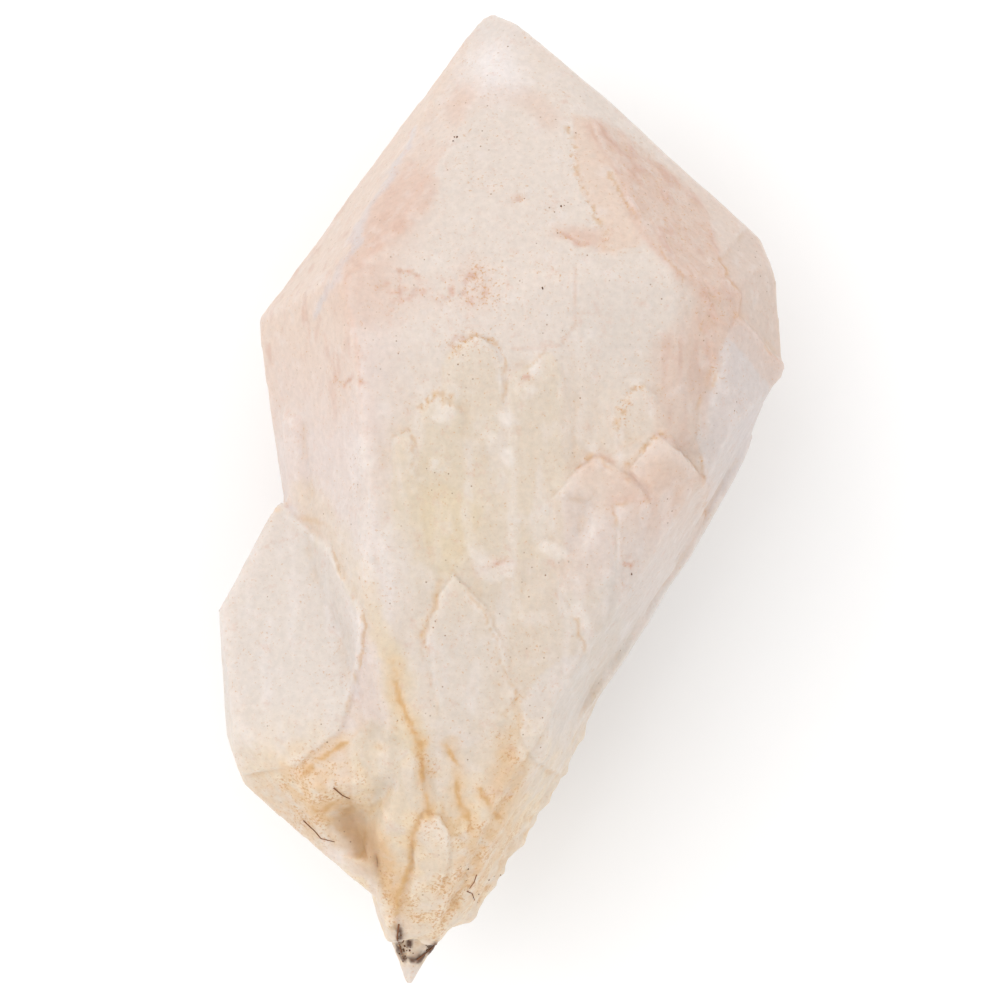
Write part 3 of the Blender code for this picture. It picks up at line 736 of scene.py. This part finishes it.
# Iron in the creases, curls and veins
paint.lay(RUST, crease * broken * (0.15 + 0.35 * low) + 0.35 * fine_edges * broken)
paint.lay(RUST, 0.5 * rims * ramp(pit, -0.1, 0.4))
curled = 0.30 * curls + 0.45 * halo * ramp(pit, -0.2, 0.5)
paint.lay(CURL_RUST, curled * ramp(fleck, -0.8, 0.4) + 0.2 * panel)
veins = sum(stroke(near + 0.35 * wander, path, 1.3) for path in RUST_VEINS) * front
vein_halo = sum(stroke(seen, path, 3.6) for path in RUST_VEINS)
paint.lay(ROOT_RUST, 0.4 * vein_halo * front * ramp(y, -10, -35))
paint.lay(RUST, veins * ramp(fleck + 0.5 * pit, -1.1, 0.4) * (0.35 + 0.65 * ramp(y, -18, -32)))

# Painted shade in the hollow, then the ends and the soil
paint.lay(HOLLOW_SHADE, patch(seen, *HOLLOW) * front * 0.8)
paint.lay(MILK, 0.5 * patch(seen, *HOLLOW_LIP) * ramp(fleck, -0.6, 0.3) * front)
paint.lay(BONE, 0.9 * ramp(y + 0.5 * cloud, -71.6, -72.8))
# Painted shade at the tip's far end
paint.lay(SHADE_GREY, 0.7 * ramp(y, 69.5, 73.5))
dusted = stroke(at[:, :2] + wander * 0.4, SOIL_CREVICE, 3.4)
paint.lay(SOIL_DUST, 0.5 * dusted * front * ramp(pit, -0.4, 0.5))
paint.lay(SOIL, soil)

# How thick the grains of iron oxide lie
dusty = ramp(noise_of(at, 7.0, 36, 3), 0.0, 0.6)
paint.iron = 0.15 * dusty + 0.30 * halo + 0.35 * rims + 0.20 * scaly
paint.iron += 0.25 * low * broken
paint.iron += 0.20 * fine_edges
for x0, y0, wide, tall, turn, amount in RUSTY_PATCHES:
    paint.iron += amount * patch(seen, x0, y0, wide, tall, turn, 0.7) * front * (0.4 + 0.6 * broken)
paint.store(stone.data)
surface.store()
thin_out(stone, MOST_TRIANGLES)
stone.data.polygons.foreach_set("use_smooth", [True] * len(stone.data.polygons))


def milky_quartz():
    """Milky quartz, naturally etched and iron stained: light sinks in a little and comes back soft."""
    made = bpy.data.materials.new("milky quartz, etched and iron stained")
    made.use_nodes = True
    tree = made.node_tree
    shader = tree.nodes["Principled BSDF"]
    stain = add(tree, "ShaderNodeAttribute", attribute_name="stone colour")
    place = add(tree, "ShaderNodeTexCoord").outputs["Object"]

    # Milky mottling, lighter and darker by a few hundredths
    milk = add(tree, "ShaderNodeTexNoise", Vector=place, Scale=MOTTLES, Detail=4.0, Roughness=0.68)
    tone = add(tree, "ShaderNodeMapRange", Value=milk.outputs["Fac"], From_Min=0.3, From_Max=0.7)
    tone.inputs["To Min"].default_value = 0.925
    tone.inputs["To Max"].default_value = 1.055
    mottled = add(tree, "ShaderNodeMix", data_type="RGBA", blend_type="MULTIPLY", _0=1.0)
    tree.links.new(stain.outputs["Color"], mottled.inputs[6])
    tree.links.new(tone.outputs["Result"], mottled.inputs[7])

    # Thin tan flecks
    tan = add(tree, "ShaderNodeTexNoise", Vector=place, Scale=TAN_FLECKS, Detail=6.0, Roughness=0.7)
    thin = add(tree, "ShaderNodeMapRange", Value=tan.outputs["Fac"], From_Min=0.57, From_Max=0.72)
    thin.inputs["To Max"].default_value = 0.38
    flecked = add(tree, "ShaderNodeMix", data_type="RGBA", _0=thin.outputs["Result"], _7=linear(CURL_RUST))
    tree.links.new(mottled.outputs[2], flecked.inputs[6])

    # Grains of iron oxide, which the stain's last channel makes thicker
    grain = add(tree, "ShaderNodeTexNoise", Vector=place, Scale=OXIDE_GRAINS, Detail=4.0, Roughness=0.65)
    rusty = add(tree, "ShaderNodeMath", operation="MULTIPLY_ADD", _0=stain.outputs["Alpha"], _1=0.17)
    tree.links.new(grain.outputs["Fac"], rusty.inputs[2])
    oxide = add(tree, "ShaderNodeMapRange", Value=rusty.outputs["Value"], From_Min=0.61, From_Max=0.74)
    oxide.inputs["To Max"].default_value = 0.8
    rusted = add(tree, "ShaderNodeMix", data_type="RGBA", _0=oxide.outputs["Result"], _7=linear(OXIDE))
    tree.links.new(flecked.outputs[2], rusted.inputs[6])

    # Specks of soil a quarter of a millimetre wide, in drifts
    cells = add(tree, "ShaderNodeTexVoronoi", Vector=place, Scale=SOIL_SPECKS).outputs["Distance"]
    speck = add(tree, "ShaderNodeMapRange", Value=cells, From_Min=0.11, From_Max=0.05)
    drift = add(tree, "ShaderNodeTexNoise", Vector=place, Scale=SPECK_DRIFTS, Detail=2.0)
    thick = add(tree, "ShaderNodeMapRange", Value=drift.outputs["Fac"], From_Min=0.46, From_Max=0.62)
    dots = add(tree, "ShaderNodeMath", operation="MULTIPLY", _0=speck.outputs["Result"])
    tree.links.new(thick.outputs["Result"], dots.inputs[1])
    specked = add(tree, "ShaderNodeMix", data_type="RGBA", _0=dots.outputs["Value"], _7=linear(SOIL_DUST))
    tree.links.new(rusted.outputs[2], specked.inputs[6])
    tree.links.new(specked.outputs[2], shader.inputs["Base Color"])

    # Quartz's own IOR, a skin etched half dull, and light that goes a few millimetres deep
    shader.inputs["Roughness"].default_value = 0.45
    shader.inputs["IOR"].default_value = 1.544
    shader.inputs["Subsurface Weight"].default_value = 0.45
    shader.inputs["Subsurface Radius"].default_value = (1.0, 0.75, 0.6)
    shader.inputs["Subsurface Scale"].default_value = 0.0035
    fine = add(tree, "ShaderNodeTexNoise", Vector=place, Scale=ETCHING, Detail=3.0)
    bump = add(tree, "ShaderNodeBump", Height=fine.outputs["Fac"], Strength=0.25, Distance=0.00015)
    tree.links.new(bump.outputs["Normal"], shader.inputs["Normal"])
    return made


stone.data.materials.append(milky_quartz())
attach(stone, "root")
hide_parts("quartz_point")


# Soil and rootlets caught low on the stone

tree_of_faces = BVHTree.FromObject(stone, bpy.context.evaluated_depsgraph_get())


def on_stone(x, y, above=0.0):
    """The point of the stone's front that is seen at x, y, in metres."""
    hit = tree_of_faces.ray_cast(Vector((x * MM, y * MM, 0.2)), Vector((0, 0, -1)))[0]
    return hit + Vector((0, 0, above * MM)) if hit else None


def plain(name, hex_colour, roughness):
    """A material of one colour, for things too small or too even to need more."""
    made = bpy.data.materials.new(name)
    made.use_nodes = True
    made.node_tree.nodes["Principled BSDF"].inputs["Base Color"].default_value = linear(hex_colour)
    made.node_tree.nodes["Principled BSDF"].inputs["Roughness"].default_value = roughness
    return made


def rootlet(number, path, thick, material):
    """A dry rootlet that lies along the stone."""
    curve = bpy.data.curves.new("rootlet", "CURVE")
    curve.dimensions = "3D"
    curve.bevel_depth = thick * MM / 2
    curve.bevel_resolution = 2
    curve.use_fill_caps = True
    points = []
    for (x0, y0), (x1, y1) in zip(path, path[1:]):
        for k in range(6):
            points.append(on_stone(x0 + (x1 - x0) * k / 6, y0 + (y1 - y0) * k / 6, thick * 0.4))
    points.append(on_stone(*path[-1], thick * 0.4))
    points = [point for point in points if point]
    line = curve.splines.new("POLY")
    line.points.add(len(points) - 1)
    for k, point in enumerate(points):
        line.points[k].co = (*point, 1)
        line.points[k].radius = 1.1 - 0.5 * k / len(points)
    laid = bpy.data.objects.new("rootlet", curve)
    bpy.context.scene.collection.objects.link(laid)
    mesh = bpy.data.meshes.new_from_object(laid.evaluated_get(bpy.context.evaluated_depsgraph_get()))
    bpy.data.objects.remove(laid)
    made = bpy.data.objects.new(f"rootlet_{number}", mesh)
    bpy.context.scene.collection.objects.link(made)
    mesh.materials.clear()
    mesh.materials.append(material)
    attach(made, "root")


# Crumbs of soil: middle, spread in millimetres, and how many
SOIL_CRUMBS = (
    (-15.0, -69.4, 1.3, 26),
    (-11.2, -69.6, 1.0, 10),
    (-3.5, -58.5, 4.0, 9),
    (-7.0, 55.6, 0.4, 3),
    (9.5, 45.0, 0.4, 3),
    (6.3, 32.0, 0.4, 2),
    (19.6, -11.2, 0.4, 2),
)


def soil_grains(material):
    """Crumbs of soil in the crevice at the root's end, beside it, and here and there on the faces."""
    chance = random.Random(5)
    shape = bmesh.new()
    for x, y, spread, count in SOIL_CRUMBS:
        for _ in range(count):
            middle = on_stone(x + chance.gauss(0, spread * 0.5), y + chance.gauss(0, spread * 0.7), 0.02)
            if middle is None:
                continue
            size = chance.uniform(0.09, 0.24) * MM
            turn = Euler([chance.uniform(0, 6) for _ in "xyz"]).to_matrix().to_4x4()
            squash = Matrix.Diagonal((1.0, chance.uniform(0.6, 0.9), chance.uniform(0.5, 0.8), 1.0))
            laid = Matrix.Translation(middle) @ turn @ squash
            bmesh.ops.create_icosphere(shape, subdivisions=1, radius=size, matrix=laid)
    mesh = bpy.data.meshes.new("soil_grains")
    shape.to_mesh(mesh)
    shape.free()
    mesh.materials.append(material)
    made = bpy.data.objects.new("soil_grains", mesh)
    bpy.context.scene.collection.objects.link(made)
    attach(made, "root")


# Each rootlet's path, seen from the front, and how thick it is
ROOTLETS = (
    (((-25.5, -44.0), (-24.2, -45.2), (-23.1, -45.7)), 0.20),
    (((-30.3, -49.2), (-28.6, -50.8), (-27.6, -52.0), (-25.5, -52.5)), 0.18),
    (((-3.7, -57.6), (-4.1, -58.8), (-4.8, -59.8)), 0.14),
    (((-5.2, -60.2), (-4.4, -60.6), (-4.0, -61.8)), 0.16),
    (((-15.7, -65.4), (-16.0, -67.6), (-15.4, -70.2)), 0.26),
    (((-13.0, -71.4), (-11.4, -70.2), (-9.4, -68.4)), 0.24),
)

# Dry plant fibre is dull brown, and dry soil is duller still
dry_root = plain("dry rootlet, dull brown", DRY_ROOT, 0.8)
for number, (path, thick) in enumerate(ROOTLETS, 1):
    rootlet(number, path, thick, dry_root)
soil_grains(plain("garden soil, dry crumbs", SOIL_CRUMB, 0.95))


# Light and camera, in metres and watts
DOME_STRENGTH = 1.08
FLOOR_SIDE = 6.0
SOFTBOX_SIDE = 1.2
SOFTBOX_WATTS = 4.6
SOFTBOX_PLACE = (-0.55, 0.40, 1.1)
SENSOR_MM = 36.0
CAMERA_HEIGHT = 1.5
PICTURE_SIDE = 0.155
STONE_MIDDLE = 0.036


def studio():
    """A bright white floor under an even white dome, with one big soft light from the upper left."""
    world = bpy.data.worlds.new("studio air")
    bpy.context.scene.world = world
    world.use_nodes = True
    sky = world.node_tree.nodes["Background"]
    sky.inputs["Color"].default_value = linear(DAYLIGHT)
    sky.inputs["Strength"].default_value = DOME_STRENGTH
    bpy.ops.mesh.primitive_plane_add(size=FLOOR_SIDE)
    floor = bpy.context.object
    floor.name = "studio_floor"
    floor.data.materials.append(plain("white paper sweep", WHITE_PAPER, 0.9))
    lamp = bpy.data.lights.new("key softbox", "AREA")
    lamp.size = SOFTBOX_SIDE
    lamp.energy = SOFTBOX_WATTS
    holder = bpy.data.objects.new("key softbox", lamp)
    bpy.context.scene.collection.objects.link(holder)
    holder.location = SOFTBOX_PLACE
    aim = Vector((0, 0, 0.03)) - holder.location
    holder.rotation_euler = aim.to_track_quat("-Z", "Y").to_euler()
    bpy.context.scene.view_settings.view_transform = "Standard"


def camera():
    """Straight down onto the stone's front, from far enough that it looks flat."""
    lens = bpy.data.cameras.new("camera")
    lens.sensor_width = SENSOR_MM
    lens.lens = SENSOR_MM * CAMERA_HEIGHT / PICTURE_SIDE
    lens.clip_end = 10.0
    holder = bpy.data.objects.new("camera", lens)
    bpy.context.scene.collection.objects.link(holder)
    holder.location = (-0.00011, 0.0, STONE_MIDDLE + CAMERA_HEIGHT)
    bpy.context.scene.camera = holder


studio()
camera()
